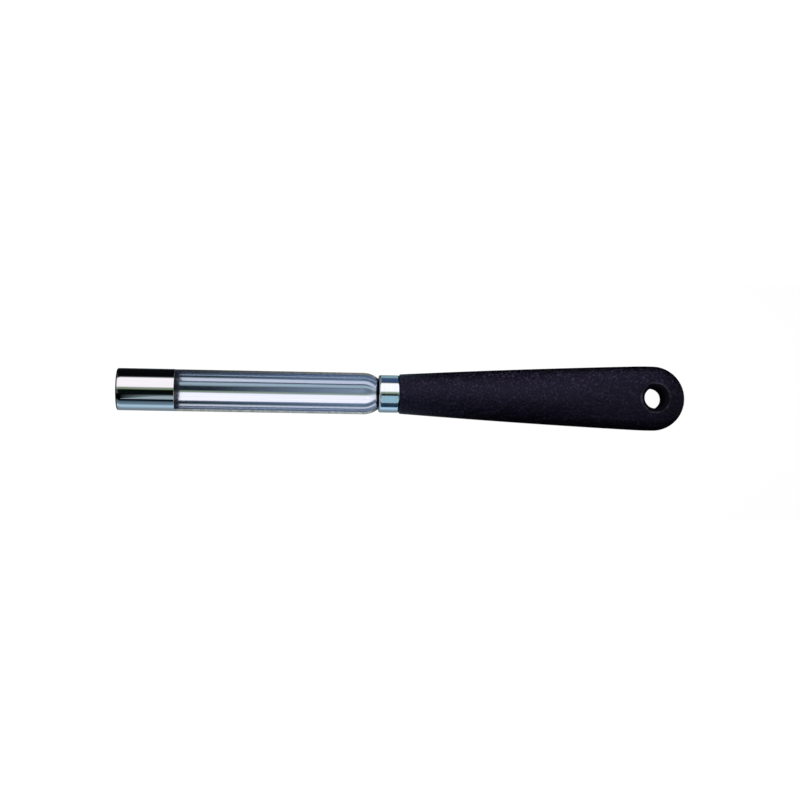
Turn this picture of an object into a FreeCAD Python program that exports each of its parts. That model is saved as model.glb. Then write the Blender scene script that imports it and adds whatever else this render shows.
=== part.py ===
import FreeCAD, Part
import math
import os

# Apple corer: a steel coring blade in a moulded handle, joined by a metal ferrule.
# Millimetres. X runs from the cutting mouth to the handle's end, Z is up, out of the open gutter.
# The origin is the centre of the cutting mouth.

# Blade: closed cutting ring, open gutter, drawn-in shoulder and neck, all of one sheet
ring_diameter = 16.0        # outside of the ring and of the gutter
sheet_thickness = 0.9
ring_length = 21.6          # from the cutting mouth to the start of the slot
blade_length = 98.8         # from the cutting mouth to the ferrule
slot_depth = 0.5            # how far below the axis the gutter's two edges lie
mouth_bevel_length = 0.4    # ground cutting edge
mouth_edge_thickness = 0.6  # metal left at the tip of the cutting edge
shoulder_radius = 9.5       # curve that draws the gutter in towards the ferrule
shoulder_cutback = 1.0      # how far the gutter's edges drop over the shoulder
neck_bend_radius = 0.5      # outside bend between shoulder and neck
neck_length = 46.0          # from the ferrule's front into the handle
edge_rounding = 0.2         # broken edges of the slot

# Ferrule
ferrule_diameter = 14.4
ferrule_wall = 0.9
ferrule_length = 7.8
ferrule_rounding = 0.75     # of the rim towards the blade
ferrule_chamfer = 0.45      # of the rim against the handle

# Handle
handle_length = 111.4       # from the ferrule to the handle's end
front_width = 15.15
front_thickness = 15.0
front_side_radius = 7.0     # of the section's two sides
front_chamfer = 0.45
belly_position = 44.0       # from the handle's front to its thickest place
belly_thickness = 16.0
end_width = 25.0            # also the diameter of the round end
end_thickness = 11.8
end_side_radius = 5.1
side_blend_radius = 150.0   # where the straight flank turns into the round end
flank_bow = 0.33            # outward bow of the flanks, seen from above
hang_hole_diameter = 8.0
hang_hole_lip = 1.75        # radius of the softened rim
lip_turn = 70.0             # degrees that the rim turns before it meets the face
lip_sink = 0.15             # how far the curved part of the rim ends below the face
section_count = 17          # sections along the taper

# Clearances
neck_clearance = 0.15       # round the neck, in the ferrule and in the handle
spigot_clearance = 0.05     # handle's spigot in the ferrule
spigot_setback = 0.5        # spigot's face behind the ferrule's mouth
socket_end_clearance = 1.0

same_place = 0.01           # two edges closer than this lie in the same place

# Places and radii that follow from the sizes above
ring_radius = ring_diameter / 2
bore_radius = ring_radius - sheet_thickness
ferrule_radius = ferrule_diameter / 2
ferrule_bore_radius = ferrule_radius - ferrule_wall
neck_radius = ferrule_bore_radius - neck_clearance
neck_inner_radius = neck_radius - sheet_thickness
handle_front = blade_length + ferrule_length
end_radius = end_width / 2
hole_x = handle_front + handle_length - end_radius
neck_end = blade_length + neck_length
shoulder_centre = ring_radius - shoulder_radius
bend_height = neck_radius + neck_bend_radius
bend_rise = bend_height - shoulder_centre
bend_reach = math.sqrt((shoulder_radius + neck_bend_radius) ** 2 - bend_rise ** 2)
shoulder_x = blade_length - bend_reach

x_axis = FreeCAD.Vector(1, 0, 0)
z_axis = FreeCAD.Vector(0, 0, 1)


def point(x, y, z):
    return FreeCAD.Vector(x, y, z)


def arc(start, middle, end):
    return Part.Arc(start, middle, end).toShape()


def line(start, end):
    return Part.makeLine(start, end)


def on_circle(centre_x, centre_z, radius, angle):
    """A point of the X-Z plane, at an angle in degrees from +X towards +Z."""
    turn = math.radians(angle)
    return point(centre_x + radius * math.cos(turn), 0, centre_z + radius * math.sin(turn))


def blade_wall_line(offset):
    """One side of the sheet seen in the X-Z plane, offset inward from its outer face."""
    radius = shoulder_radius - offset
    bend = neck_bend_radius + offset
    bend_angle = math.degrees(math.atan2(bend_rise, bend_reach))
    straight_end = on_circle(shoulder_x, shoulder_centre, radius, 90)
    shoulder_middle = on_circle(shoulder_x, shoulder_centre, radius, (90 + bend_angle) / 2)
    shoulder_end = on_circle(shoulder_x, shoulder_centre, radius, bend_angle)
    bend_middle = on_circle(blade_length, bend_height, bend, (bend_angle + 180 + 270) / 2)
    neck_start = on_circle(blade_length, bend_height, bend, 270)
    shoulder = arc(straight_end, shoulder_middle, shoulder_end)
    return straight_end, shoulder, arc(shoulder_end, bend_middle, neck_start), neck_start


def blade_body():
    """The whole sheet as if the slot had not been cut."""
    outer_end, outer_shoulder, outer_bend, outer_neck = blade_wall_line(0)
    inner_end, inner_shoulder, inner_bend, inner_neck = blade_wall_line(sheet_thickness)
    tip_outer = point(0, 0, bore_radius + mouth_edge_thickness)
    bevel_end = point(mouth_bevel_length, 0, ring_radius)
    tip_inner = point(0, 0, bore_radius)
    tail_outer = point(neck_end, 0, neck_radius)
    tail_inner = point(neck_end, 0, neck_inner_radius)
    edges = [line(tip_inner, tip_outer), line(tip_outer, bevel_end), line(bevel_end, outer_end)]
    edges += [outer_shoulder, outer_bend, line(outer_neck, tail_outer), line(tail_outer, tail_inner)]
    edges += [line(tail_inner, inner_neck), inner_bend, inner_shoulder, line(inner_end, tip_inner)]
    profile = Part.Face(Part.Wire(Part.__sortEdges__(edges)))
    return profile.revolve(point(0, 0, 0), x_axis, 360)


def slot_cutter(clearance):
    """Everything above the gutter's edges, behind the ring."""
    drop_end = slot_depth + shoulder_cutback
    reach = blade_length - shoulder_x
    sweep_radius = (reach ** 2 + shoulder_cutback ** 2) / (2 * shoulder_cutback)
    half_turn = math.atan2(shoulder_cutback, reach)
    side = -ring_diameter
    top = ring_diameter
    back = neck_end + ring_diameter
    slot_start = point(ring_length, side, -slot_depth)
    drop_start = point(shoulder_x, side, -slot_depth)
    drop_middle = point(shoulder_x + sweep_radius * math.sin(half_turn), side,
                        -slot_depth - sweep_radius * (1 - math.cos(half_turn)))
    drop_finish = point(blade_length, side, -drop_end)
    edges = [line(slot_start, drop_start), arc(drop_start, drop_middle, drop_finish)]
    back_low = point(back, side, -drop_end)
    back_top = point(back, side, top)
    slot_top = point(ring_length, side, top)
    edges += [line(drop_finish, back_low), line(back_low, back_top), line(back_top, slot_top)]
    edges.append(line(slot_top, slot_start))
    face = Part.Face(Part.Wire(Part.__sortEdges__(edges)))
    cutter = face.extrude(point(0, 2 * ring_diameter, 0))
    cutter.translate(point(0, 0, clearance))
    return cutter


def is_outer_slot_edge(edge):
    """True for the gutter's two long straight edges on the outer face of the sheet."""
    box = edge.BoundBox
    half_gap = math.sqrt(ring_radius ** 2 - slot_depth ** 2)
    outer = abs(abs(box.YMax + box.YMin) / 2 - half_gap) < same_place
    return outer and box.XLength > ring_diameter


def coring_blade():
    blade = blade_body().cut(slot_cutter(0))
    return blade.makeFillet(edge_rounding, [edge for edge in blade.Edges if is_outer_slot_edge(edge)])


def rims_at(shape, x):
    """The shape's edges that lie in the plane across the axis at x."""
    rims = []
    for edge in shape.Edges:
        box = edge.BoundBox
        if max(abs(box.XMin - x), abs(box.XMax - x)) < same_place:
            rims.append(edge)
    return rims


def ferrule():
    sleeve = Part.makeCylinder(ferrule_radius, ferrule_length, point(blade_length, 0, 0), x_axis)
    sleeve = sleeve.makeFillet(ferrule_rounding, rims_at(sleeve, blade_length))
    sleeve = sleeve.makeChamfer(ferrule_chamfer, rims_at(sleeve, handle_front))
    bore = Part.makeCylinder(ferrule_bore_radius, ferrule_length, point(blade_length, 0, 0), x_axis)
    return sleeve.cut(bore)


def grip_half_width(x):
    """Half of the handle's width: a bowed flank that turns smoothly into the round end."""
    run = hole_x - handle_front
    slope = (end_width - front_width) / 2 / run
    blend_run = side_blend_radius * slope
    share = (x - handle_front) / run
    bow = 4 * flank_bow * share * (1 - share)
    left = max(0.0, x - (hole_x - blend_run))
    overshoot = blend_run * slope / 2
    straight = front_width / 2 + (slope + overshoot / run) * (x - handle_front)
    return straight + bow - left ** 2 / (2 * side_blend_radius)


def grip_half_thickness(x):
    """Half of the handle's thickness: it swells to the belly and thins to the end."""
    belly_x = handle_front + belly_position
    if x < belly_x:
        share = (belly_x - x) / belly_position
        return belly_thickness / 2 - (belly_thickness - front_thickness) / 2 * share ** 2
    share = (x - belly_x) / (hole_x - belly_x)
    fall = (1 - math.cos(math.pi * share)) / 2
    return belly_thickness / 2 - (belly_thickness - end_thickness) / 2 * fall


def below(place):
    return point(place.x, place.y, -place.z)


def beside(place):
    return point(place.x, -place.y, place.z)


def section_arcs(x, inset=0.0):
    """A quarter of the handle's section at x: crown arc from the middle, then side arc to the flank."""
    share = (x - handle_front) / (hole_x - handle_front)
    side_radius = front_side_radius + (end_side_radius - front_side_radius) * share - inset
    half_width = grip_half_width(x) - inset
    half_thickness = grip_half_thickness(x) - inset
    reach = half_width - side_radius
    rise = half_thickness - side_radius
    crown_radius = (reach ** 2 + half_thickness ** 2 - side_radius ** 2) / (2 * rise)
    crown_centre = half_thickness - crown_radius
    turn = math.atan2(reach, -crown_centre)
    joint = point(x, crown_radius * math.sin(turn), crown_centre + crown_radius * math.cos(turn))
    halfway = point(x, crown_radius * math.sin(turn / 2), crown_centre + crown_radius * math.cos(turn / 2))
    return point(x, 0, half_thickness), halfway, joint, point(x, half_width, 0)


def grip_section(x, inset=0.0):
    top, _, joint, flank = section_arcs(x, inset)
    low_joint = below(joint)
    edges = [arc(beside(joint), top, joint), arc(joint, flank, low_joint)]
    edges.append(arc(low_joint, below(top), beside(low_joint)))
    edges.append(arc(beside(low_joint), beside(flank), beside(joint)))
    return Part.Wire(edges)


def grip_taper():
    """Loft from the broken edge of the front face to the hang hole's axis."""
    start = handle_front + front_chamfer
    run = hole_x - start
    sections = [grip_section(handle_front, front_chamfer)]
    for number in range(section_count):
        sections.append(grip_section(start + run * number / (section_count - 1)))
    return Part.makeLoft(sections, True, True)


def grip_end():
    """The round end: the last section's half, turned about the hang hole's axis."""
    top, halfway, joint, flank = [beside(place) for place in section_arcs(hole_x)]
    edges = [arc(top, halfway, joint), arc(joint, flank, below(joint))]
    edges += [arc(below(joint), below(halfway), below(top)), line(below(top), top)]
    return Part.Face(Part.Wire(edges)).revolve(point(hole_x, 0, 0), z_axis, 180)


def crown_height(distance):
    """Height of the handle's face at a distance from the hang hole's axis."""
    top, _, joint, _ = section_arcs(hole_x)
    crown = arc(beside(joint), top, joint).Curve
    return crown.Center.z + math.sqrt(crown.Radius ** 2 - distance ** 2)


def hang_hole_cutter():
    """The bore with a lip that curves outward at both faces."""
    radius = hang_hole_diameter / 2
    turn = math.radians(lip_turn)
    rim_radius = radius + hang_hole_lip * (1 - math.cos(turn))
    rim_height = crown_height(rim_radius) - lip_sink
    lip_start = rim_height - hang_hole_lip * math.sin(turn)
    half_turn = turn / 2
    lip_middle = point(hole_x + radius + hang_hole_lip * (1 - math.cos(half_turn)), 0,
                       lip_start + hang_hole_lip * math.sin(half_turn))
    rim = point(hole_x + rim_radius, 0, rim_height)
    flare = point(rim.x + hang_hole_lip * math.tan(turn), 0, rim_height + hang_hole_lip)
    bore_low = point(hole_x + radius, 0, -lip_start)
    bore_high = point(hole_x + radius, 0, lip_start)
    top = point(hole_x, 0, flare.z)
    low_middle, low_rim, low_flare, bottom = [below(place) for place in (lip_middle, rim, flare, top)]
    edges = [line(bore_low, bore_high), arc(bore_high, lip_middle, rim), line(rim, flare), line(flare, top)]
    edges += [line(top, bottom), line(bottom, low_flare), line(low_flare, low_rim)]
    edges.append(arc(low_rim, low_middle, bore_low))
    profile = Part.Face(Part.Wire(Part.__sortEdges__(edges)))
    return profile.revolve(point(hole_x, 0, 0), z_axis, 360)


def neck_socket():
    """Room for the neck. It starts well ahead of the spigot, so that it opens into the ferrule."""
    start = blade_length - ring_length
    length = neck_end + socket_end_clearance - start
    outer = Part.makeCylinder(neck_radius + neck_clearance, length, point(start, 0, 0), x_axis)
    inner = Part.makeCylinder(neck_inner_radius - neck_clearance, length, point(start, 0, 0), x_axis)
    return outer.cut(inner).cut(slot_cutter(neck_clearance))


def handle():
    body = grip_taper().fuse(grip_end()).cut(hang_hole_cutter())
    spigot_front = blade_length + spigot_setback
    spigot_length = handle_front - spigot_front + front_chamfer
    spigot_radius = ferrule_bore_radius - spigot_clearance
    spigot = Part.makeCylinder(spigot_radius, spigot_length, point(spigot_front, 0, 0), x_axis)
    return body.fuse(spigot).cut(neck_socket())


os.makedirs("parts", exist_ok=True)
pieces = {"coring_blade": coring_blade(), "ferrule": ferrule(), "handle": handle()}
for name, shape in pieces.items():
    if len(shape.Solids) == 1:
        shape = shape.Solids[0]
    shape.exportStep("parts/" + name + ".step")
    box = shape.BoundBox
    print(name, "solids", len(shape.Solids), "valid", shape.isValid(), "volume", round(shape.Volume, 1))
    print("  x", round(box.XMin, 2), round(box.XMax, 2), "y", round(box.YMin, 2), round(box.YMax, 2),
          "z", round(box.ZMin, 2), round(box.ZMax, 2))
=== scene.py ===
import math

import bmesh
import bpy
from mathutils import Matrix, Vector


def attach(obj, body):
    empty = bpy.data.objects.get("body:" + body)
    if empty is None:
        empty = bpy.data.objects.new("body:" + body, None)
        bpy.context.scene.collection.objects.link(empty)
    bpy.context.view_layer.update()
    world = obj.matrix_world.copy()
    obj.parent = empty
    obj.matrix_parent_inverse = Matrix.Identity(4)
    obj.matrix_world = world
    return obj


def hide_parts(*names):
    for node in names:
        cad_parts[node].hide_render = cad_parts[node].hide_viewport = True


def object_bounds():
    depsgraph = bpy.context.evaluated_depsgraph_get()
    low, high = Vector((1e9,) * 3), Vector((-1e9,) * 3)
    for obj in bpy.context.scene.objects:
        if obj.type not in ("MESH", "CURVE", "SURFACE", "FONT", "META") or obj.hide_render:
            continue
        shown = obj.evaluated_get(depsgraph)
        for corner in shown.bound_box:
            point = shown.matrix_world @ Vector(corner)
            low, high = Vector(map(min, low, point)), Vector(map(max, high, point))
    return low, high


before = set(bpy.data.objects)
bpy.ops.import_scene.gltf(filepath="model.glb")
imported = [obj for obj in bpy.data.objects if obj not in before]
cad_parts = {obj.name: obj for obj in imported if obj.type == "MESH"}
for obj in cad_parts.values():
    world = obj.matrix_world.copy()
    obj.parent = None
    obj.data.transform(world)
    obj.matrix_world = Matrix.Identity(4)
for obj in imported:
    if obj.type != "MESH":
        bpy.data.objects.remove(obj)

# Apple corer: polished blade, satin ferrule, matt black grip.
# X runs from the cutting mouth to the grip's end, Z is up, out of the open gutter. Metres.

mm = 0.001
doubleReach = 1e-7                   # points closer than this are merged
sliverReach = 1e-8                   # edges shorter than this are dissolved
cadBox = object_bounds()
print("frame loaded")


# Shared helpers

def addObject(name, vertices, faces):
    mesh = bpy.data.meshes.new(name)
    mesh.from_pydata(vertices, [], faces)
    obj = bpy.data.objects.new(name, mesh)
    bpy.context.scene.collection.objects.link(obj)
    return obj


def tidyMesh(obj, sharpAngle):
    # merges doubles, turns the faces outward and marks the real edges sharp
    shape = bmesh.new()
    shape.from_mesh(obj.data)
    bmesh.ops.remove_doubles(shape, verts=shape.verts, dist=doubleReach)
    bmesh.ops.dissolve_degenerate(shape, edges=shape.edges, dist=sliverReach)
    bmesh.ops.recalc_face_normals(shape, faces=shape.faces)
    shape.to_mesh(obj.data)
    shape.free()
    for face in obj.data.polygons:
        face.use_smooth = True
    obj.data.set_sharp_from_angle(angle=math.radians(sharpAngle))


def addBevel(obj, width, segments, angle):
    bevel = obj.modifiers.new("softEdges", "BEVEL")
    bevel.width = width
    bevel.segments = segments
    bevel.limit_method = "ANGLE"
    bevel.angle_limit = math.radians(angle)
    bevel.use_clamp_overlap = True
    bevel.harden_normals = True


def lathe(name, profile, steps):
    # profile: closed ring of (x, radius) points, turned about the X axis
    count = len(profile)
    vertices = []
    for step in range(steps):
        turn = 2 * math.pi * step / steps
        vertices += [(x, r * math.sin(turn), r * math.cos(turn)) for x, r in profile]
    faces = []
    for step in range(steps):
        here = step * count
        there = (step + 1) % steps * count
        for i in range(count):
            j = (i + 1) % count
            faces.append((here + i, here + j, there + j, there + i))
    return addObject(name, vertices, faces)


def arcPoints(centre, radius, start, end, steps):
    # points of an arc in the plane, angles in degrees from the first axis
    points = []
    for step in range(steps + 1):
        turn = math.radians(start + (end - start) * step / steps)
        points.append((centre[0] + radius * math.cos(turn), centre[1] + radius * math.sin(turn)))
    return points


class Wire:
    # a value in the node tree that can be added, multiplied and so on

    def __init__(self, tree, socket, number=None):
        self.tree = tree
        self.socket = socket
        self.number = number         # a fixed value, used where there is no socket

    def math(self, operation, other=None, clamp=False):
        node = self.tree.nodes.new("ShaderNodeMath")
        node.operation = operation
        node.use_clamp = clamp
        for socket, value in zip(node.inputs, (self, other)):
            if isinstance(value, Wire) and value.socket is not None:
                self.tree.links.new(value.socket, socket)
            elif isinstance(value, Wire):
                socket.default_value = value.number
            elif value is not None:
                socket.default_value = value
        return Wire(self.tree, node.outputs["Value"])

    def __add__(self, other):
        return self.math("ADD", other)

    def __sub__(self, other):
        return self.math("SUBTRACT", other)

    def __mul__(self, other):
        return self.math("MULTIPLY", other)

    def __truediv__(self, other):
        return self.math("DIVIDE", other)


def clampShare(value):
    return value.math("ADD", 0.0, clamp=True)


def choose(flag, yes, no):
    # yes where flag is 1, no where it is 0
    return no + (yes - no) * flag


def objectPlace(tree, axis):
    # one of a point's own coordinates
    coords = tree.nodes.new("ShaderNodeTexCoord")
    split = tree.nodes.new("ShaderNodeSeparateXYZ")
    tree.links.new(coords.outputs["Object"], split.inputs[0])
    return split.outputs[axis]


# Materials

def newMaterial(name):
    material = bpy.data.materials.new(name)
    material.use_nodes = True
    tree = material.node_tree
    tree.nodes.clear()
    output = tree.nodes.new("ShaderNodeOutputMaterial")
    shader = tree.nodes.new("ShaderNodeBsdfPrincipled")
    tree.links.new(shader.outputs["BSDF"], output.inputs["Surface"])
    return material, tree, shader


def objectNoise(tree, stretch, scale, detail, roughness=0.5):
    # noise on Object coordinates, stretched by a Mapping node
    coords = tree.nodes.new("ShaderNodeTexCoord")
    mapping = tree.nodes.new("ShaderNodeMapping")
    mapping.inputs["Scale"].default_value = stretch
    noise = tree.nodes.new("ShaderNodeTexNoise")
    noise.inputs["Scale"].default_value = scale
    noise.inputs["Detail"].default_value = detail
    noise.inputs["Roughness"].default_value = roughness
    tree.links.new(coords.outputs["Object"], mapping.inputs["Vector"])
    tree.links.new(mapping.outputs["Vector"], noise.inputs["Vector"])
    return noise.outputs["Fac"]


def rangeOf(tree, value, low, high, fromLow=0.3, fromHigh=0.7):
    # value from fromLow to fromHigh, most of a noise's range if not given, becomes low to high
    node = tree.nodes.new("ShaderNodeMapRange")
    node.inputs["From Min"].default_value = fromLow
    node.inputs["From Max"].default_value = fromHigh
    node.inputs["To Min"].default_value = low
    node.inputs["To Max"].default_value = high
    tree.links.new(value, node.inputs["Value"])
    return node.outputs["Result"]


def mixColours(tree, factor, first, second):
    node = tree.nodes.new("ShaderNodeMix")
    node.data_type = "RGBA"
    sockets = {socket.identifier: socket for socket in node.inputs}
    for name, colour in (("A_Color", first), ("B_Color", second)):
        if isinstance(colour, tuple):
            sockets[name].default_value = (*colour, 1)
        else:
            tree.links.new(colour, sockets[name])
    tree.links.new(factor, sockets["Factor_Float"])
    return [socket for socket in node.outputs if socket.identifier == "Result_Color"][0]


def bumpFrom(tree, shader, height, strength, distance):
    bump = tree.nodes.new("ShaderNodeBump")
    bump.inputs["Strength"].default_value = strength
    bump.inputs["Distance"].default_value = distance
    tree.links.new(height, bump.inputs["Height"])
    tree.links.new(bump.outputs["Normal"], shader.inputs["Normal"])


def mixSurface(tree, share, first, second):
    # the output shows first where share is 0 and second where it is 1
    mix = tree.nodes.new("ShaderNodeMixShader")
    tree.links.new(share, mix.inputs["Fac"])
    tree.links.new(first, mix.inputs[1])
    tree.links.new(second, mix.inputs[2])
    output = [node for node in tree.nodes if node.type.startswith("OUTPUT")][0]
    tree.links.new(mix.outputs["Shader"], output.inputs["Surface"])


steelLook = {
    "ringLight": (0.63, 0.63, 0.64),
    "ringDark": (0.58, 0.59, 0.60),
    "ringRoughness": 0.025,          # the ring is a mirror outside
    "boreRoughness": 0.24,           # and satin inside
    "boreRadius": 7.5 * mm,
    # painted shade inside the ring's bore, which is dark inside the closed tube
    "ringBorePaintedShade": (0.26, 0.27, 0.30),
    "groundBevelPaintedShade": (0.05, 0.05, 0.06),    # painted shade on the ground bevel outside the mouth
    "groundEnd": 0.55 * mm,
    "groundRadius": 7.72 * mm,
    "gutterLight": (0.65, 0.69, 0.745),
    "gutterDark": (0.56, 0.605, 0.67),
    "gutterSmoothest": 0.09,
    "gutterRoughest": 0.15,
    "rimPaintedShade": (0.07, 0.075, 0.10), # painted shade: the gutter's far wall darkens towards its edge
    "rimStart": -4.2 * mm,
    "rimFull": -0.9 * mm,
    "rimFade": (30 * mm, 90 * mm),   # and less so towards the shoulder
    "rimLeast": 0.0,
    "veilColour": (0.28, 0.52, 1.0), # bluish haze of the drawn gutter
    "veilShares": (0.035, 0.075),    # its share at the ring and at the shoulder
    "drawLines": (0.4, 26, 26),      # drawn lines run along X
    "lineScale": 60,
    "lineDetail": 3,
    "lineRelief": 0.05,              # height of the lines beside that of the waves
    "waves": (0.5, 1, 1),            # slow unevenness of the sheet
    "waveScale": 70,
    "waveDetail": 1,
    "waveDepth": 0.00008,
    "jointPaintedShade": (0.01, 0.012, 0.018),   # painted shade in the crevice at the ferrule
    "jointStart": 98.0 * mm,
    "jointEnd": 98.45 * mm,
}


def polishedSteel():
    material, tree, shader = newMaterial("polishedSteel")
    place = objectPlace(tree, "X")
    across, up = Wire(tree, objectPlace(tree, "Y")), Wire(tree, objectPlace(tree, "Z"))
    fromAxis = (across * across + up * up).math("SQRT")
    inside = fromAxis.math("LESS_THAN", steelLook["boreRadius"])
    behindRing = Wire(tree, place).math("GREATER_THAN", blade["ringLength"])
    lines = objectNoise(tree, steelLook["drawLines"], steelLook["lineScale"], steelLook["lineDetail"])
    shares = rangeOf(tree, lines, 0, 1)

    # ring: mirror outside, satin inside with painted shade in the bore, painted shade on the ground
    # bevel at the mouth
    ring = mixColours(tree, shares, steelLook["ringDark"], steelLook["ringLight"])
    ring = mixColours(tree, inside.socket, ring, steelLook["ringBorePaintedShade"])
    # painted shade on the ground bevel at the mouth
    bevelShade = Wire(tree, place).math("LESS_THAN", steelLook["groundEnd"])
    bevelShade = bevelShade * fromAxis.math("GREATER_THAN", steelLook["groundRadius"])
    ring = mixColours(tree, bevelShade.socket, ring, steelLook["groundBevelPaintedShade"])

    # gutter: drawn lines, painted shade along the far edge
    gutter = mixColours(tree, shares, steelLook["gutterDark"], steelLook["gutterLight"])
    nearRim = rangeOf(tree, up.socket, 0, 1, steelLook["rimStart"], steelLook["rimFull"])
    lessening = rangeOf(tree, place, 1, steelLook["rimLeast"], *steelLook["rimFade"])
    # painted shade on the far wall near its edge, less towards the shoulder
    farWall = inside * across.math("GREATER_THAN", 0.0)
    shade = farWall * Wire(tree, nearRim) * Wire(tree, lessening)
    gutter = mixColours(tree, shade.socket, gutter, steelLook["rimPaintedShade"])

    metal = mixColours(tree, behindRing.socket, ring, gutter)
    # painted shade where the blade meets the ferrule
    creviceShade = rangeOf(tree, place, 0, 1, steelLook["jointStart"], steelLook["jointEnd"])
    metal = mixColours(tree, creviceShade, metal, steelLook["jointPaintedShade"])
    shader.inputs["Metallic"].default_value = 1.0
    tree.links.new(metal, shader.inputs["Base Color"])

    drawn = rangeOf(tree, lines, steelLook["gutterSmoothest"], steelLook["gutterRoughest"])
    mirror, satin = (Wire(tree, None, steelLook[name]) for name in ("ringRoughness", "boreRoughness"))
    roughness = choose(behindRing, Wire(tree, drawn), choose(inside, satin, mirror))
    tree.links.new(roughness.socket, shader.inputs["Roughness"])
    waves = objectNoise(tree, steelLook["waves"], steelLook["waveScale"], steelLook["waveDetail"])
    relief = Wire(tree, waves) + Wire(tree, lines) * steelLook["lineRelief"]
    bumpFrom(tree, shader, relief.socket, 1.0, steelLook["waveDepth"])

    veil = tree.nodes.new("ShaderNodeBsdfDiffuse")
    veil.inputs["Color"].default_value = (*steelLook["veilColour"], 1)
    haze = rangeOf(tree, place, *steelLook["veilShares"], *steelLook["rimFade"])
    veiled = (behindRing - Wire(tree, creviceShade)) * Wire(tree, haze)
    mixSurface(tree, veiled.socket, shader.outputs["BSDF"], veil.outputs["BSDF"])
    return material


edgeLook = {
    "lightColour": (0.62, 0.66, 0.63),
    "darkColour": (0.26, 0.28, 0.27),
    "farEdgePaintedShade": (0.03, 0.033, 0.045),   # painted shade over the far edge
    "shadeShares": (0.95, 0.5),      # its share at the ring and at the shoulder
    "roughness": 0.38,
    "shearMarks": (30, 1, 1),        # short marks across the cut edge
    "markScale": 60,
    "markDetail": 2,
    "markRoughness": 0.7,
    "relief": 0.3,
    "reliefDepth": 0.0001,
}


def shearedEdge():
    material, tree, shader = newMaterial("shearedEdge")
    marks = objectNoise(tree, edgeLook["shearMarks"], edgeLook["markScale"],
                        edgeLook["markDetail"], edgeLook["markRoughness"])
    shares = rangeOf(tree, marks, 0, 1)
    marked = mixColours(tree, shares, edgeLook["darkColour"], edgeLook["lightColour"])
    # painted shade on the far (+Y) cut edge, less towards the shoulder
    farSide = Wire(tree, objectPlace(tree, "Y")).math("GREATER_THAN", 0.0)
    fading = rangeOf(tree, objectPlace(tree, "X"), *edgeLook["shadeShares"], *steelLook["rimFade"])
    shade = farSide * Wire(tree, fading)
    colour = mixColours(tree, shade.socket, marked, edgeLook["farEdgePaintedShade"])
    tree.links.new(colour, shader.inputs["Base Color"])
    shader.inputs["Metallic"].default_value = 1.0
    shader.inputs["Roughness"].default_value = edgeLook["roughness"]
    bumpFrom(tree, shader, marks, edgeLook["relief"], edgeLook["reliefDepth"])
    return material


ferruleLook = {
    "lightColour": (0.66, 0.72, 0.76),
    "darkColour": (0.58, 0.64, 0.68),
    "smoothest": 0.09,
    "roughest": 0.15,
    "turnedLines": (60, 1.2, 1.2),   # turned lines run round the sleeve
    "lineScale": 40,
    "lineDetail": 3,
    "relief": 0.04,
    "reliefDepth": 0.0001,
}


def satinFerrule():
    material, tree, shader = newMaterial("satinFerrule")
    lines = objectNoise(tree, ferruleLook["turnedLines"], ferruleLook["lineScale"],
                        ferruleLook["lineDetail"])
    shares = rangeOf(tree, lines, 0, 1)
    colour = mixColours(tree, shares, ferruleLook["darkColour"], ferruleLook["lightColour"])
    tree.links.new(colour, shader.inputs["Base Color"])
    shader.inputs["Metallic"].default_value = 1.0
    roughness = rangeOf(tree, lines, ferruleLook["smoothest"], ferruleLook["roughest"])
    tree.links.new(roughness, shader.inputs["Roughness"])
    bumpFrom(tree, shader, lines, ferruleLook["relief"], ferruleLook["reliefDepth"])
    return material


gripLook = {
    "speckColour": (0.0455, 0.0375, 0.0790),
    "darkColour": (0.0010, 0.0005, 0.0016),
    "speckRange": (0.515, 0.65),     # mottle between which a speck grows to its full colour
    "speckSheenSide": (-4.0 * mm, 7.0 * mm),    # specks thin out towards -Y, a painted sheen on the lit +Y side
    "speckSheenLeast": 0.28,
    "flankPaintedShade": (0.0010, 0.0007, 0.0012),
    "flankFull": 1.5 * mm,           # heights from the middle between which the painted shade on the flank goes from full to none
    "flankNone": 4.6 * mm,
    "paintedRimHighlightColour": (0.050, 0.050, 0.060),
    "paintedRimHighlightStart": 5.8 * mm,         # from the hole's axis, a painted highlight lightens the lip's rim
    "paintedRimHighlightEnd": 6.2 * mm,
    "paintedRimHighlightLeast": 0.2,
    "patchRange": (0.4, 0.6),        # noise between which the painted rim highlight and roughness change
    "reflection": 0.31,
    "reflectionTint": (0.58, 0.53, 1.0),
    "smoothest": 0.28,
    "roughest": 0.58,
    "grainScale": 1250,
    "grainDetail": 3,
    "grainRoughness": 0.6,
    "grainShare": 0.82,              # of the mottle, the rest is clouds
    "cloudStretch": (1, 1.4, 1),
    "cloudScale": 260,
    "cloudDetail": 3,
    "relief": 0.9,
    "grainDepth": 0.0006,
}


def mouldedGrain(tree):
    return objectNoise(tree, (1, 1, 1), gripLook["grainScale"],
                       gripLook["grainDetail"], gripLook["grainRoughness"])


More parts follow.
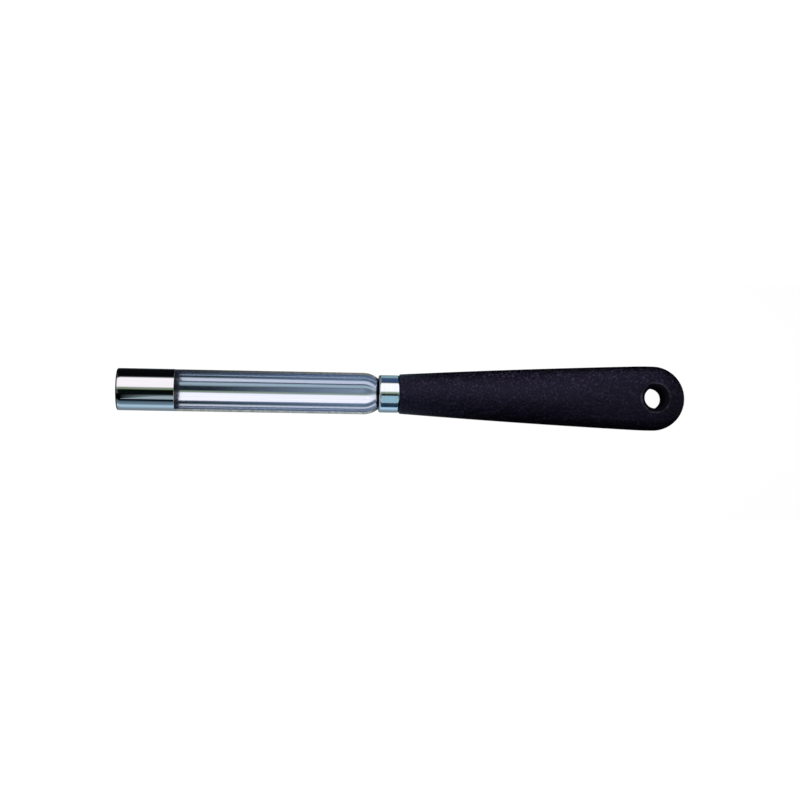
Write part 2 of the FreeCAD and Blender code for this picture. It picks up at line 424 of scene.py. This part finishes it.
def mattPlastic():
    material, tree, shader = newMaterial("mattPlastic")
    along, across, up = (Wire(tree, objectPlace(tree, axis)) for axis in "XYZ")
    grain = Wire(tree, mouldedGrain(tree))
    clouds = objectNoise(tree, gripLook["cloudStretch"], gripLook["cloudScale"], gripLook["cloudDetail"])
    mottle = grain * gripLook["grainShare"] + Wire(tree, clouds) * (1 - gripLook["grainShare"])

    # specks of the grain, thinned towards -Y as a painted sheen, and painted shade on the flanks
    # the specks are the grain; fewer of them towards -Y is painted sheen on the lit side
    side = rangeOf(tree, across.socket, gripLook["speckSheenLeast"], 1, *gripLook["speckSheenSide"])
    specks = Wire(tree, rangeOf(tree, mottle.socket, 0, 1, *gripLook["speckRange"])) * Wire(tree, side)
    skin = mixColours(tree, specks.socket, gripLook["darkColour"], gripLook["speckColour"])
    # painted shade on the flanks
    height = up.math("ABSOLUTE")
    flank = rangeOf(tree, height.socket, 1, 0, gripLook["flankFull"], gripLook["flankNone"])
    skin = mixColours(tree, flank, skin, gripLook["flankPaintedShade"])

    # painted highlight on the rim of the hang hole
    fromHoleX = along - grip["holeX"]
    fromHole = (across * across + fromHoleX * fromHoleX).math("SQRT")
    # painted highlight: the lip's rim is lightened in patches
    fading = rangeOf(tree, fromHole.socket, 1, 0, gripLook["paintedRimHighlightStart"], gripLook["paintedRimHighlightEnd"])
    patches = rangeOf(tree, clouds, gripLook["paintedRimHighlightLeast"], 1, *gripLook["patchRange"])
    paintedRimHighlight = Wire(tree, fading) * Wire(tree, patches)
    skin = mixColours(tree, paintedRimHighlight.socket, skin, gripLook["paintedRimHighlightColour"])
    tree.links.new(skin, shader.inputs["Base Color"])

    matt = rangeOf(tree, mottle.socket, gripLook["smoothest"], gripLook["roughest"],
                   *gripLook["patchRange"])
    tree.links.new(matt, shader.inputs["Roughness"])
    shader.inputs["Specular IOR Level"].default_value = gripLook["reflection"]
    shader.inputs["Specular Tint"].default_value = (*gripLook["reflectionTint"], 1)
    bumpFrom(tree, shader, grain.socket, gripLook["relief"], gripLook["grainDepth"])
    return material


# painted shade in the hang hole: very dark colour and no reflection on the bore and its lip
boreLook = {
    "lightColour": (0.0080, 0.0070, 0.0110),
    "darkColour": (0.0032, 0.0027, 0.0048),
    "reflection": 0.0,
    "smoothest": 0.7,
    "roughest": 1.0,
    "relief": 0.5,
    "reliefDepth": 0.0003,
    "reach": 5.5 * mm,               # the bore and its lip, painted in shade, by distance from the hole's axis
}


def holePaintedShade():
    material, tree, shader = newMaterial("holePaintedShade")
    grain = mouldedGrain(tree)
    shares = rangeOf(tree, grain, 0, 1)
    skin = mixColours(tree, shares, boreLook["darkColour"], boreLook["lightColour"])
    tree.links.new(skin, shader.inputs["Base Color"])
    roughness = rangeOf(tree, grain, boreLook["smoothest"], boreLook["roughest"])
    tree.links.new(roughness, shader.inputs["Roughness"])
    shader.inputs["Specular IOR Level"].default_value = boreLook["reflection"]
    bumpFrom(tree, shader, grain, boreLook["relief"], boreLook["reliefDepth"])
    return material


# Blade: closed ring, open half-round gutter, round shoulder and neck, one sheet

blade = {
    "ringRadius": 8.0 * mm,
    "sheet": 0.9 * mm,
    "ringLength": 21.6 * mm,
    "length": 98.8 * mm,             # mouth to ferrule
    "slotDepth": 0.5 * mm,           # edges below the axis
    "bevelLength": 0.4 * mm,
    "tipThickness": 0.6 * mm,
    "shoulderRadius": 9.5 * mm,
    "shoulderCutback": 1.0 * mm,
    "neckRadius": 6.15 * mm,
    "neckBend": 0.5 * mm,
    "neckEnd": 144.8 * mm,
    "edgeSoftness": 0.18 * mm,
    "edgeSegments": 3,
    "sharpAngle": 40,                # degrees, corners above it are edges
    "stepsAround": 120,
    "ringSteps": 14,
    "gutterSteps": 40,
    "shoulderSteps": 24,
    "bendSteps": 10,
    "neckShares": (0.1, 0.5, 1.0),   # rows along the neck
}


def wallStations():
    # pairs of (x, radius) on the outer and inner face, from the mouth to the neck's end
    radius, sheet = blade["ringRadius"], blade["sheet"]
    inner = radius - sheet
    curve = blade["shoulderRadius"]
    bendHeight = blade["neckRadius"] + blade["neckBend"]
    bendRise = bendHeight - radius + curve
    bendReach = math.sqrt((curve + blade["neckBend"]) ** 2 - bendRise ** 2)
    shoulderX = blade["length"] - bendReach
    bendAngle = math.degrees(math.atan2(bendRise, bendReach))
    pairs = [((0, inner + blade["tipThickness"]), (0, inner))]

    def straightRun(start, end, steps, first):
        for step in range(first, steps + 1):
            x = start + (end - start) * step / steps
            pairs.append(((x, radius), (x, inner)))

    straightRun(blade["bevelLength"], blade["ringLength"], blade["ringSteps"], 0)
    ringStations = len(pairs) - 1
    straightRun(blade["ringLength"], shoulderX, blade["gutterSteps"], 1)
    shoulder = [arcPoints((shoulderX, radius - curve), r, 90, bendAngle, blade["shoulderSteps"])
                for r in (curve, curve - sheet)]
    pairs += list(zip(*shoulder))[1:]
    bends = [arcPoints((blade["length"], bendHeight), r, 180 + bendAngle, 270, blade["bendSteps"])
             for r in (blade["neckBend"], blade["neckBend"] + sheet)]
    pairs += list(zip(*bends))[1:]
    for share in blade["neckShares"]:
        x = blade["length"] + (blade["neckEnd"] - blade["length"]) * share
        pairs.append(((x, blade["neckRadius"]), (x, blade["neckRadius"] - sheet)))
    return pairs, ringStations, shoulderX


def edgeHeight(x, shoulderX):
    # height of the slot's edge: level along the gutter, dropping on an arc over the shoulder
    if x <= shoulderX:
        return -blade["slotDepth"]
    reach = blade["length"] - shoulderX
    drop = blade["shoulderCutback"]
    sweep = (reach ** 2 + drop ** 2) / (2 * drop)
    along = min(x - shoulderX, reach)
    return -blade["slotDepth"] - (sweep - math.sqrt(sweep ** 2 - along ** 2))


def buildBlade():
    pairs, ringStations, shoulderX = wallStations()
    steps = blade["stepsAround"]
    vertices, faces, sheared = [], [], []

    def arcRow(x, radius, start, end):
        first = len(vertices)
        for step in range(steps + 1):
            turn = start + (end - start) * step / steps
            vertices.append((x, radius * math.sin(turn), -radius * math.cos(turn)))
        return list(range(first, first + steps + 1))

    def band(one, two):
        for i in range(len(one) - 1):
            faces.append((one[i], one[i + 1], two[i + 1], two[i]))

    low, top = [], []
    for number, pair in enumerate(pairs):
        rows, upper = [], []
        for x, radius in pair:
            edge = math.acos(-edgeHeight(x, shoulderX) / radius)
            rows.append(arcRow(x, radius, -edge, edge))
            if number <= ringStations:
                upper.append(arcRow(x, radius, edge, 2 * math.pi - edge))
        low.append(rows)
        top.append(upper)
    for i in range(len(pairs) - 1):
        band(low[i][0], low[i + 1][0])
        band(low[i][1], low[i + 1][1])
        if i < ringStations:
            band(top[i][0], top[i + 1][0])
            band(top[i][1], top[i + 1][1])
        else:
            for end in (0, -1):
                sheared.append(len(faces))
                here, there = low[i], low[i + 1]
                faces.append((here[0][end], here[1][end], there[1][end], there[0][end]))
    band(low[0][0], low[0][1])
    band(top[0][0], top[0][1])
    band(top[ringStations][0], top[ringStations][1])
    band(low[-1][0], low[-1][1])
    obj = addObject("coringBlade", vertices, faces)
    for number in sheared:
        obj.data.polygons[number].material_index = 1
    tidyMesh(obj, blade["sharpAngle"])
    addBevel(obj, blade["edgeSoftness"], blade["edgeSegments"], blade["sharpAngle"])
    obj.data.materials.append(polishedSteel())
    obj.data.materials.append(shearedEdge())
    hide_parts("coring_blade")
    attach(obj, "root")
    return obj


buildBlade()
print("blade built")


# Ferrule: short sleeve with rounded rims

ferrule = {
    "front": 98.8 * mm,
    "length": 7.8 * mm,
    "radius": 7.2 * mm,
    "wall": 0.9 * mm,
    "rounding": 0.75 * mm,
    "boreSoftness": 0.12 * mm,
    "roundSteps": 8,
    "softSteps": 4,
    "straightShares": (0.25, 0.5, 0.75),
    "stepsAround": 192,
    "sharpAngle": 50,
}


def buildFerrule():
    start, end = ferrule["front"], ferrule["front"] + ferrule["length"]
    outer, bore = ferrule["radius"], ferrule["radius"] - ferrule["wall"]
    rounding, soft = ferrule["rounding"], ferrule["boreSoftness"]
    roundSteps, softSteps = ferrule["roundSteps"], ferrule["softSteps"]
    profile = arcPoints((start + rounding, outer - rounding), rounding, 180, 90, roundSteps)
    profile += [(start + ferrule["length"] * share, outer) for share in ferrule["straightShares"]]
    profile += arcPoints((end - rounding, outer - rounding), rounding, 90, 0, roundSteps)
    profile += arcPoints((end - soft, bore + soft), soft, 0, -90, softSteps)
    profile += arcPoints((start + soft, bore + soft), soft, -90, -180, softSteps)
    obj = lathe("ferruleSleeve", profile, ferrule["stepsAround"])
    tidyMesh(obj, ferrule["sharpAngle"])
    obj.data.materials.append(satinFerrule())
    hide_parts("ferrule")
    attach(obj, "root")
    return obj


buildFerrule()
print("ferrule built")


# Grip: a section of crown and side arcs, lofted to the hole's axis and turned about it at the end

grip = {
    "front": 106.6 * mm,
    "holeX": 205.5 * mm,
    "frontWidth": 15.15 * mm,
    "frontThickness": 15.0 * mm,
    "frontSideRadius": 7.0 * mm,
    "frontRounding": 0.6 * mm,
    "bellyPosition": 44.0 * mm,
    "bellyThickness": 16.0 * mm,
    "endWidth": 25.0 * mm,
    "endThickness": 11.8 * mm,
    "endSideRadius": 5.1 * mm,
    "sideBlend": 150.0 * mm,
    "flankBow": 0.33 * mm,
    "frontRows": 6,
    "taperRows": 120,
    "endRows": 36,
    "columns": 128,
}
gripSharpAngle = 35                  # degrees
mergeReach = 2e-6                    # joins the seam and the middles of the grid's rows
hole = {
    "radius": 4.0 * mm,
    "lip": 1.75 * mm,
    "lipTurn": 70,                   # degrees
    "lipSink": 0.15 * mm,
    "lipSteps": 12,
    "stepsAround": 96,
    "sharpAngle": 30,
}
spigot = {
    "front": 99.3 * mm,
    "radius": 6.25 * mm,
    "rounding": 0.3 * mm,
    "overlap": 2.0 * mm,             # how far it runs into the grip
    "roundSteps": 5,
    "stepsAround": 96,
    "sharpAngle": 30,
}


def gripTree():
    tree = bpy.data.node_groups.new("gripTree", "GeometryNodeTree")
    tree.interface.new_socket("Geometry", in_out="INPUT", socket_type="NodeSocketGeometry")
    kinds = {}
    for name, value in grip.items():
        kinds[name] = "NodeSocketInt" if isinstance(value, int) else "NodeSocketFloat"
    kinds.update(cutter="NodeSocketObject", spigot="NodeSocketObject", finish="NodeSocketMaterial")
    sockets = {}
    for name, kind in kinds.items():
        sockets[name] = tree.interface.new_socket(name, in_out="INPUT", socket_type=kind)
    tree.interface.new_socket("Geometry", in_out="OUTPUT", socket_type="NodeSocketGeometry")
    source = tree.nodes.new("NodeGroupInput")
    size = {name: Wire(tree, source.outputs[name]) for name in grip}

    # a flat grid, one row for each station and one column for each step round the section
    rows = size["frontRows"] + size["taperRows"] + size["endRows"] + 2
    grid = tree.nodes.new("GeometryNodeMeshGrid")
    grid.inputs["Size X"].default_value = 1.0
    grid.inputs["Size Y"].default_value = 1.0
    tree.links.new(rows.socket, grid.inputs["Vertices X"])
    tree.links.new((size["columns"] + 1).socket, grid.inputs["Vertices Y"])
    place = tree.nodes.new("ShaderNodeSeparateXYZ")
    position = tree.nodes.new("GeometryNodeInputPosition")
    tree.links.new(position.outputs[0], place.inputs[0])
    row = ((Wire(tree, place.outputs["X"]) + 0.5) * (rows - 1)).math("ROUND")
    turn = (Wire(tree, place.outputs["Y"]) + 0.5) * 4.0      # quarter turns round the section
    quarter = math.pi / 2

    # where along the grip this row is
    filled = clampShare(row)         # 0 in the middle of the front face
    rounding = clampShare((row - 1) / size["frontRows"]) * quarter
    pastFront = row - 1 - size["frontRows"]
    along = clampShare(pastFront / size["taperRows"])
    fan = clampShare((pastFront - size["taperRows"]) / size["endRows"]) * quarter
    run = size["holeX"] - size["front"]
    inset = size["frontRounding"] * (rounding.math("SINE") * -1.0 + 1.0)
    setback = size["frontRounding"] * (rounding.math("COSINE") * -1.0 + 1.0)
    distance = setback + (run - size["frontRounding"]) * along     # from the front face
    share = distance / run

    # half width: bowed flank that turns into the round end
    slope = (size["endWidth"] - size["frontWidth"]) / 2 / run
    blendRun = size["sideBlend"] * slope
    bow = size["flankBow"] * share * (share * -1.0 + 1.0) * 4.0
    left = (distance - run + blendRun).math("MAXIMUM", 0.0)
    straight = size["frontWidth"] / 2 + (slope + blendRun * slope / 2 / run) * distance
    halfWidth = straight + bow - left * left / (size["sideBlend"] * 2)

    # half thickness: swells to the belly and thins to the end
    ahead = (size["bellyPosition"] - distance) / size["bellyPosition"]
    rise = (size["bellyThickness"] - size["frontThickness"]) / 2
    front = size["bellyThickness"] / 2 - rise * ahead * ahead
    behind = clampShare((distance - size["bellyPosition"]) / (run - size["bellyPosition"]))
    fall = (size["bellyThickness"] - size["endThickness"]) / 4
    back = size["bellyThickness"] / 2 - fall * ((behind * math.pi).math("COSINE") * -1.0 + 1.0)
    halfThickness = choose(ahead.math("GREATER_THAN", 0.0), front, back)

    # section: crown arc and side arc, walked by the direction of the normal
    sideChange = size["endSideRadius"] - size["frontSideRadius"]
    sideRadius = size["frontSideRadius"] + sideChange * share - inset
    width, thickness = halfWidth - inset, halfThickness - inset
    reach = width - sideRadius
    squares = reach * reach + thickness * thickness - sideRadius * sideRadius
    crownRadius = squares / (thickness - sideRadius) / 2
    crownCentre = thickness - crownRadius
    joint = reach.math("ARCTAN2", crownCentre * -1.0)
    fromCrown = (turn.math("FLOORED_MODULO", 2.0) - 1).math("ABSOLUTE")
    onCrown = fromCrown.math("LESS_THAN", 0.5)
    sideNormal = joint + (joint * -1.0 + quarter) * (fromCrown * 2.0 - 1)
    normal = choose(onCrown, joint * fromCrown * 2.0, sideNormal)
    sine, cosine = normal.math("SINE"), normal.math("COSINE")
    across = choose(onCrown, crownRadius * sine, reach + sideRadius * sine)
    up = choose(onCrown, crownCentre + crownRadius * cosine, sideRadius * cosine)
    sideSign = (turn * quarter).math("COSINE").math("SIGN")
    upSign = (turn * quarter).math("SINE").math("SIGN")

    # the end opens like a fan about the hole's axis
    placed = tree.nodes.new("ShaderNodeCombineXYZ")
    placeX = size["front"] + distance + across * fan.math("SINE")
    placeY = across * fan.math("COSINE") * sideSign * filled
    placeZ = up * upSign * filled
    for wire, socket in zip((placeX, placeY, placeZ), placed.inputs):
        tree.links.new(wire.socket, socket)
    move = tree.nodes.new("GeometryNodeSetPosition")
    tree.links.new(grid.outputs["Mesh"], move.inputs["Geometry"])
    tree.links.new(placed.outputs[0], move.inputs["Position"])
    merge = tree.nodes.new("GeometryNodeMergeByDistance")
    merge.inputs["Distance"].default_value = mergeReach
    tree.links.new(move.outputs["Geometry"], merge.inputs["Geometry"])

    # the spigot joins the front face, the hole is cut with its lip
    spigotInfo = tree.nodes.new("GeometryNodeObjectInfo")
    tree.links.new(source.outputs["spigot"], spigotInfo.inputs["Object"])
    joined = tree.nodes.new("GeometryNodeMeshBoolean")
    joined.operation = "UNION"
    joined.solver = "EXACT"
    tree.links.new(merge.outputs["Geometry"], joined.inputs["Mesh 2"])
    tree.links.new(spigotInfo.outputs["Geometry"], joined.inputs["Mesh 2"])
    cutterInfo = tree.nodes.new("GeometryNodeObjectInfo")
    tree.links.new(source.outputs["cutter"], cutterInfo.inputs["Object"])
    cut = tree.nodes.new("GeometryNodeMeshBoolean")
    cut.operation = "DIFFERENCE"
    cut.solver = "EXACT"
    tree.links.new(joined.outputs["Mesh"], cut.inputs["Mesh 1"])
    tree.links.new(cutterInfo.outputs["Geometry"], cut.inputs["Mesh 2"])
    realize = tree.nodes.new("GeometryNodeRealizeInstances")
    tree.links.new(cut.outputs["Mesh"], realize.inputs["Geometry"])
    finish = tree.nodes.new("GeometryNodeSetMaterial")
    tree.links.new(realize.outputs["Geometry"], finish.inputs["Geometry"])
    tree.links.new(source.outputs["finish"], finish.inputs["Material"])
    output = tree.nodes.new("NodeGroupOutput")
    tree.links.new(finish.outputs["Geometry"], output.inputs["Geometry"])
    return tree, {name: socket.identifier for name, socket in sockets.items()}


def crownHeight(distance):
    # height of the grip's face at a distance from the hole's axis
    side, thickness = grip["endSideRadius"], grip["endThickness"] / 2
    reach = grip["endWidth"] / 2 - side
    crown = (reach ** 2 + thickness ** 2 - side ** 2) / (2 * (thickness - side))
    return thickness - crown + math.sqrt(crown ** 2 - distance ** 2)


def holeCutter():
    # bore with a lip that curves outward at both faces, standing along Z at the hole's place
    turn = math.radians(hole["lipTurn"])
    rimHeight = crownHeight(hole["radius"] + hole["lip"] * (1 - math.cos(turn))) - hole["lipSink"]
    lipStart = rimHeight - hole["lip"] * math.sin(turn)
    upper = [(hole["radius"], 0.0)]
    lipCentre = (lipStart, hole["radius"] + hole["lip"])
    for z, r in arcPoints(lipCentre, hole["lip"], -90, -90 + hole["lipTurn"], hole["lipSteps"]):
        upper.append((r, z))
    rim = upper[-1][0]
    upper.append((rim + hole["lip"] * math.tan(turn), rimHeight + hole["lip"]))
    upper.append((0.0, rimHeight + hole["lip"]))
    lower = [(r, -z) for r, z in upper[:0:-1]]
    profile = [(z, r) for r, z in lower + upper]
    obj = lathe("holeCutter", profile, hole["stepsAround"])
    obj.data.transform(Matrix.Rotation(-math.pi / 2, 4, "Y"))
    obj.data.transform(Matrix.Translation((grip["holeX"], 0, 0)))
    tidyMesh(obj, hole["sharpAngle"])
    return obj


def spigotPlug():
    soft, radius, start = spigot["rounding"], spigot["radius"], spigot["front"]
    end = grip["front"] + spigot["overlap"]
    profile = [(start, 0.0)]
    profile += arcPoints((start + soft, radius - soft), soft, 180, 90, spigot["roundSteps"])
    profile += [(end, radius), (end, 0.0)]
    obj = lathe("spigotPlug", profile, spigot["stepsAround"])
    tidyMesh(obj, spigot["sharpAngle"])
    return obj


def buildGrip():
    tree, identifiers = gripTree()
    cutter, plug = holeCutter(), spigotPlug()
    material = mattPlastic()
    holder = addObject("gripHolder", [(0, 0, 0)], [])
    modifier = holder.modifiers.new("gripShape", "NODES")
    modifier.node_group = tree
    for name, value in grip.items():
        modifier[identifiers[name]] = value
    modifier[identifiers["cutter"]] = cutter
    modifier[identifiers["spigot"]] = plug
    modifier[identifiers["finish"]] = material
    bpy.context.view_layer.update()
    shaped = holder.evaluated_get(bpy.context.evaluated_depsgraph_get())
    mesh = bpy.data.meshes.new_from_object(shaped)
    obj = bpy.data.objects.new("blackGrip", mesh)
    bpy.context.scene.collection.objects.link(obj)
    holder.modifiers.remove(modifier)
    for used in (holder, cutter, plug):
        bpy.data.objects.remove(used)
    tidyMesh(obj, gripSharpAngle)
    mesh.materials.clear()
    mesh.materials.append(material)
    mesh.materials.append(holePaintedShade())
    for face in mesh.polygons:
        fromHole = math.hypot(face.center.x - grip["holeX"], face.center.y)
        face.material_index = 1 if fromHole < boreLook["reach"] else 0
    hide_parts("handle")
    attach(obj, "root")
    return obj


gripObject = buildGrip()
print("grip built", len(gripObject.data.polygons), "faces")


# Floor, light and camera

room = {
    "floorSize": 4.0,
    "floorColour": (0.82, 0.82, 0.82),
    "floorWhite": 0.86,              # share of plain white that the camera sees on the floor
    "floorGlow": 1.13,               # strength of that white
    "skyStrength": 1.0,
    "reflectionStrength": 1.28,      # of the banded surroundings that metal sees
    "endColour": (0.62, 0.66, 0.70), # seen towards the two ends, -X and +X
    "endStart": 0.4,
    "endFull": 0.9,
    "endShare": 0.45,
}
# what polished metal reflects, by angle about the X axis from straight up, + towards +Y, in degrees
reflections = [
    (-180, (0.20, 0.25, 0.30)), (-133, (0.22, 0.27, 0.31)), (-126, (0.24, 0.32, 0.38)),
    (-121, (0.32, 0.46, 0.56)), (-103, (0.50, 0.72, 0.90)), (-98, (0.40, 0.58, 0.72)),
    (-93, (0.19, 0.28, 0.36)), (-74, (0.09, 0.15, 0.20)), (-68, (0.004, 0.008, 0.012)),
    (-59, (0.002, 0.004, 0.008)), (-55, (0.36, 0.46, 0.52)), (-44, (0.40, 0.50, 0.55)),
    (-36, (0.22, 0.28, 0.30)), (-31, (0.003, 0.006, 0.006)), (-6, (0.001, 0.003, 0.002)),
    (-3, (0.14, 0.18, 0.12)), (1, (0.30, 0.37, 0.26)), (5, (0.26, 0.32, 0.24)),
    (8, (0.50, 0.52, 0.50)), (11, (1.18, 1.12, 1.16)), (60, (1.22, 1.14, 1.20)),
    (64, (0.7, 0.7, 0.7)), (68, (0.05, 0.05, 0.055)), (74, (0.002, 0.002, 0.003)),
    (138, (0.004, 0.004, 0.005)), (148, (0.05, 0.055, 0.06)), (180, (0.20, 0.25, 0.30)),
]


def buildFloor():
    half = room["floorSize"] / 2
    lowest = cadBox[0][2]
    corners = [(x, y, lowest) for x, y in ((-half, -half), (half, -half), (half, half), (-half, half))]
    obj = addObject("floor", corners, [(0, 1, 2, 3)])
    material, tree, shader = newMaterial("paleFloor")
    shader.inputs["Base Color"].default_value = (*room["floorColour"], 1)
    shader.inputs["Roughness"].default_value = 1.0
    shader.inputs["Specular IOR Level"].default_value = 0.0
    white = tree.nodes.new("ShaderNodeEmission")
    white.inputs["Strength"].default_value = room["floorGlow"]
    rays = tree.nodes.new("ShaderNodeLightPath")
    amount = Wire(tree, rays.outputs["Is Camera Ray"]) * room["floorWhite"]
    mixSurface(tree, amount.socket, shader.outputs["BSDF"], white.outputs["Emission"])
    obj.data.materials.append(material)
    obj.visible_glossy = False       # metal sees the banded surroundings below the horizon too


def buildSurroundings():
    world = bpy.data.worlds.new("studio")
    bpy.context.scene.world = world
    world.use_nodes = True
    tree = world.node_tree
    tree.nodes.clear()
    coords = tree.nodes.new("ShaderNodeTexCoord")
    split = tree.nodes.new("ShaderNodeSeparateXYZ")
    tree.links.new(coords.outputs["Generated"], split.inputs[0])
    angle = Wire(tree, split.outputs["Y"]).math("ARCTAN2", Wire(tree, split.outputs["Z"]))
    share = angle / (2 * math.pi) + 0.5
    ramp = tree.nodes.new("ShaderNodeValToRGB")
    tree.links.new(share.socket, ramp.inputs["Fac"])
    stops = ramp.color_ramp.elements
    while len(stops) < len(reflections):
        stops.new(0.5)
    for stop, (degrees, colour) in zip(stops, reflections):
        stop.position = degrees / 360 + 0.5
        stop.color = (*colour, 1)
    soft = tree.nodes.new("ShaderNodeBackground")
    soft.inputs["Color"].default_value = (1, 1, 1, 1)
    soft.inputs["Strength"].default_value = room["skyStrength"]
    banded = tree.nodes.new("ShaderNodeBackground")
    banded.inputs["Strength"].default_value = room["reflectionStrength"]
    towardsEnd = Wire(tree, split.outputs["X"]).math("ABSOLUTE")
    ends = rangeOf(tree, towardsEnd.socket, 0, room["endShare"], room["endStart"], room["endFull"])
    bands = mixColours(tree, ends, ramp.outputs["Color"], room["endColour"])
    tree.links.new(bands, banded.inputs["Color"])
    rays = tree.nodes.new("ShaderNodeLightPath")
    tree.nodes.new("ShaderNodeOutputWorld")
    mixSurface(tree, rays.outputs["Is Glossy Ray"], soft.outputs["Background"],
               banded.outputs["Background"])


# Strips of a cylinder round the X axis that only reflections see: angles as in the table above,
# places along X in mm. A strip with a fade is clear at its first place and solid at its second,
# and endAngles are a strip's angles at its far end.
black = (0.0, 0.0, 0.0)
cardRadius = 40.0 * mm
cards = [
    {"name": "ferruleFarFloor", "angles": (100, 156), "along": (97, 114), "colour": (0.30, 0.44, 0.50)},
    {"name": "ferruleFarSide", "angles": (68, 99), "along": (97, 114), "colour": (0.05, 0.10, 0.22)},
    {"name": "ferruleOver", "angles": (-57, -15), "along": (97, 114), "colour": (0.42, 0.66, 0.78)},
    {"name": "ferruleNearSide", "angles": (-86, -66), "along": (97, 114), "colour": (0.01, 0.04, 0.09)},
    {"name": "gutterOver", "angles": (-33, -4), "along": (34, 97), "colour": (0.30, 0.37, 0.46),
     "fade": (34, 97)},
    {"name": "gutterFar", "angles": (66, 110), "along": (34, 97), "colour": (0.32, 0.40, 0.40),
     "fade": (34, 97)},
    {"name": "ringNear", "angles": (-58, -27), "endAngles": (-33, -27), "along": (-10, 17),
     "colour": black, "fade": (18, -2)},
    {"name": "mouthNear", "angles": (-58, -27), "along": (-90, -10), "colour": black},
]
# black flags that keep light off the grip's flanks and its round end
flagRadius = 48.0 * mm
flags = [
    {"name": "nearFlag", "angles": (-150, -50), "along": (116, 250), "colour": black},
    {"name": "farFlag", "angles": (78, 150), "along": (116, 250), "colour": black},
    {"name": "endFlag", "angles": (-180, 180), "along": (226, 330), "colour": black},
]
cardSteps = 24


def buildCard(card, radius):
    vertices = []
    ends = (card["angles"], card.get("endAngles", card["angles"]))
    for x, (start, end) in zip(card["along"], ends):
        arc = arcPoints((0, 0), radius, 90 - start, 90 - end, cardSteps)
        vertices += [(x * mm, y, z) for y, z in arc]
    count = cardSteps + 1
    faces = [(i, i + 1, i + 1 + count, i + count) for i in range(cardSteps)]
    obj = addObject(card["name"], vertices, faces)
    material, tree, shader = newMaterial(card["name"])
    shader.inputs["Base Color"].default_value = (0, 0, 0, 1)
    shader.inputs["Specular IOR Level"].default_value = 0.0
    shader.inputs["Emission Color"].default_value = (*card["colour"], 1)
    shader.inputs["Emission Strength"].default_value = 1.0
    if "fade" in card:
        clearAt, solidAt = (x * mm for x in card["fade"])
        opacity = rangeOf(tree, objectPlace(tree, "X"), 0, 1, clearAt, solidAt)
        tree.links.new(opacity, shader.inputs["Alpha"])
    obj.data.materials.append(material)
    obj.visible_camera = False
    obj.visible_shadow = False
    obj.visible_transmission = False
    return obj


def buildCards():
    for card in cards:
        buildCard(card, cardRadius).visible_diffuse = False
    for flag in flags:
        buildCard(flag, flagRadius)


view = {
    "place": (64.1 * mm, -40.6 * mm, 546.5 * mm),
    "lens": 64.49,
    "sensor": 36.0,
    "yaw": math.radians(4.5),        # the camera stands a little towards the mouth
    "pitch": math.radians(4.0),      # and a little towards -Y
    "roll": 0.0122,
    "nearest": 0.01,
}


def buildCamera():
    data = bpy.data.cameras.new("photoCamera")
    data.lens = view["lens"]
    data.sensor_width = view["sensor"]
    data.clip_start = view["nearest"]
    obj = bpy.data.objects.new("photoCamera", data)
    bpy.context.scene.collection.objects.link(obj)
    yaw, pitch, roll = view["yaw"], view["pitch"], view["roll"]
    level = Vector((math.cos(yaw), 0, math.sin(yaw)))
    ahead = Vector((math.sin(yaw), 0, -math.cos(yaw)))
    forward = ahead * math.cos(pitch) + Vector((0, math.sin(pitch), 0))
    upright = level.cross(forward)
    right = level * math.cos(roll) + upright * math.sin(roll)
    upward = upright * math.cos(roll) - level * math.sin(roll)
    turned = Matrix((right, upward, -forward)).transposed().to_4x4()
    obj.matrix_world = Matrix.Translation(view["place"]) @ turned
    bpy.context.scene.camera = obj


buildFloor()
buildSurroundings()
buildCards()
buildCamera()
bpy.context.scene.view_settings.view_transform = "Standard"
print("floor, light and camera set")
